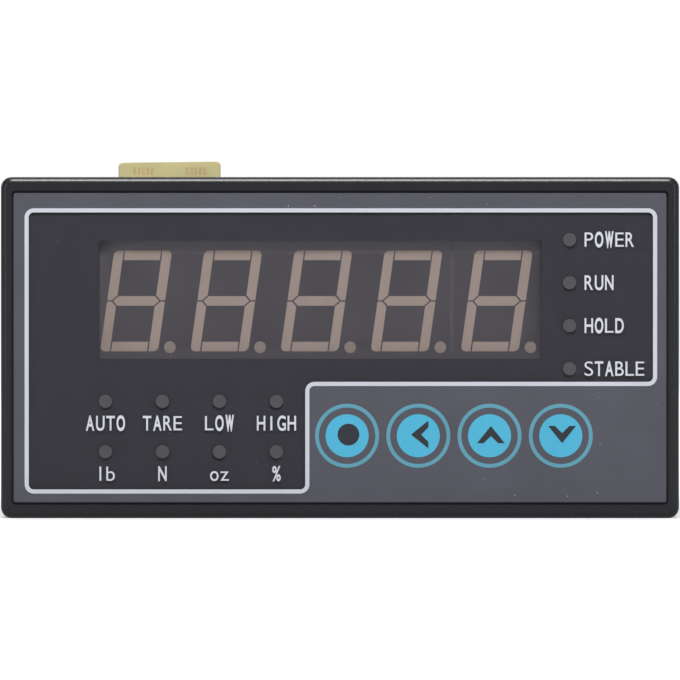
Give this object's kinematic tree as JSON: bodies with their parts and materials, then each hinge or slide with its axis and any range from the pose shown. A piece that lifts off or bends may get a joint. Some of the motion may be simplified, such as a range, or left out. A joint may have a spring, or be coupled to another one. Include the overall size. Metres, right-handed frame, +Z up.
{
  "type": "weighing indicator",
  "caption": "Panel-mounted weighing indicator: a framed front with slanted digits, status lamps and membrane keys, a vented case and a screw terminal base at the back.",
  "frame": {"origin": "centre of the panel seat, the back face of the bezel", "axes": "+X to the right seen from the front, +Y into the panel towards the terminals, +Z up"},
  "size_m": [0.0954, 0.1035, 0.0502],
  "materials": {
    "bezel_plastic": "satin moulded black plastic",
    "case_plastic": "fine-textured black plastic",
    "terminal_plastic": "satin black plastic",
    "front_film": "satin smoked film",
    "grey_ink": "satin ink",
    "white_ink": "satin ink",
    "blue_ink": "satin ink",
    "dark_ink": "satin ink",
    "digit_housing": "matt grey face",
    "digit_stroke": "milky cast resin, unlit",
    "lamp_lens": "milky cast resin, unlit",
    "circuit_board": "solder-masked laminate",
    "key_plastic": "satin",
    "switch_plastic": "satin",
    "plated_pins": "gold plated",
    "core_steel": "stacked laminations",
    "coil_wrap": "taped winding",
    "relay_plastic": "gloss",
    "capacitor_sleeve": "shrunk sleeve",
    "terminal_brass": "tin-plated brass",
    "screw_steel": "zinc plated",
    "label_paper": "matt yellow paper"
  },
  "bodies": {
    "root": {"front_bezel": "bezel_plastic", "case_shell": "case_plastic", "terminal_base": "terminal_plastic", "front_film": "front_film", "grey_print": "grey_ink", "line_print": "white_ink", "ring_prints": "blue_ink", "disc_prints": "blue_ink", "symbol_prints": "dark_ink", "quad_digit_block": "digit_housing", "single_digit_block": "digit_housing", "quad_digit_strokes": "digit_stroke", "single_digit_strokes": "digit_stroke", "status_lamp_1": "lamp_lens", "status_lamp_2": "lamp_lens", "status_lamp_3": "lamp_lens", "status_lamp_4": "lamp_lens", "output_lamp_1": "lamp_lens", "output_lamp_2": "lamp_lens", "output_lamp_3": "lamp_lens", "output_lamp_4": "lamp_lens", "unit_lamp_1": "lamp_lens", "unit_lamp_2": "lamp_lens", "unit_lamp_3": "lamp_lens", "unit_lamp_4": "lamp_lens", "display_board": "circuit_board", "main_board": "circuit_board", "terminal_board": "circuit_board", "switch_body_1": "switch_plastic", "switch_body_2": "switch_plastic", "switch_body_3": "switch_plastic", "switch_body_4": "switch_plastic", "front_link_socket": "switch_plastic", "rear_link_socket": "switch_plastic", "controller_chip": "switch_plastic", "converter_chip": "switch_plastic", "front_link_pins": "plated_pins", "rear_link_pins": "plated_pins", "transformer_core": "core_steel", "transformer_coil": "coil_wrap", "relay_1": "relay_plastic", "relay_2": "relay_plastic", "capacitors": "capacitor_sleeve", "terminal_tabs": "terminal_brass", "terminal_washers": "screw_steel", "terminal_screws": "screw_steel", "cover_screws": "screw_steel", "display_board_screws": "screw_steel", "seal_label": "label_paper"},
    "key_1": {"key_cap_1": "key_plastic", "switch_plunger_1": "key_plastic"},
    "key_2": {"key_cap_2": "key_plastic", "switch_plunger_2": "key_plastic"},
    "key_3": {"key_cap_3": "key_plastic", "switch_plunger_3": "key_plastic"},
    "key_4": {"key_cap_4": "key_plastic", "switch_plunger_4": "key_plastic"}
  },
  "joints": [
    {"name": "key_1_press", "type": "slide", "parent": "root", "child": "key_1", "axis": [0, 1, 0], "range_m": [0, 0.0003], "stiffness_N_per_m": 4000},
    {"name": "key_2_press", "type": "slide", "parent": "root", "child": "key_2", "axis": [0, 1, 0], "range_m": [0, 0.0003], "stiffness_N_per_m": 4000},
    {"name": "key_3_press", "type": "slide", "parent": "root", "child": "key_3", "axis": [0, 1, 0], "range_m": [0, 0.0003], "stiffness_N_per_m": 4000},
    {"name": "key_4_press", "type": "slide", "parent": "root", "child": "key_4", "axis": [0, 1, 0], "range_m": [0, 0.0003], "stiffness_N_per_m": 4000}
  ]
}
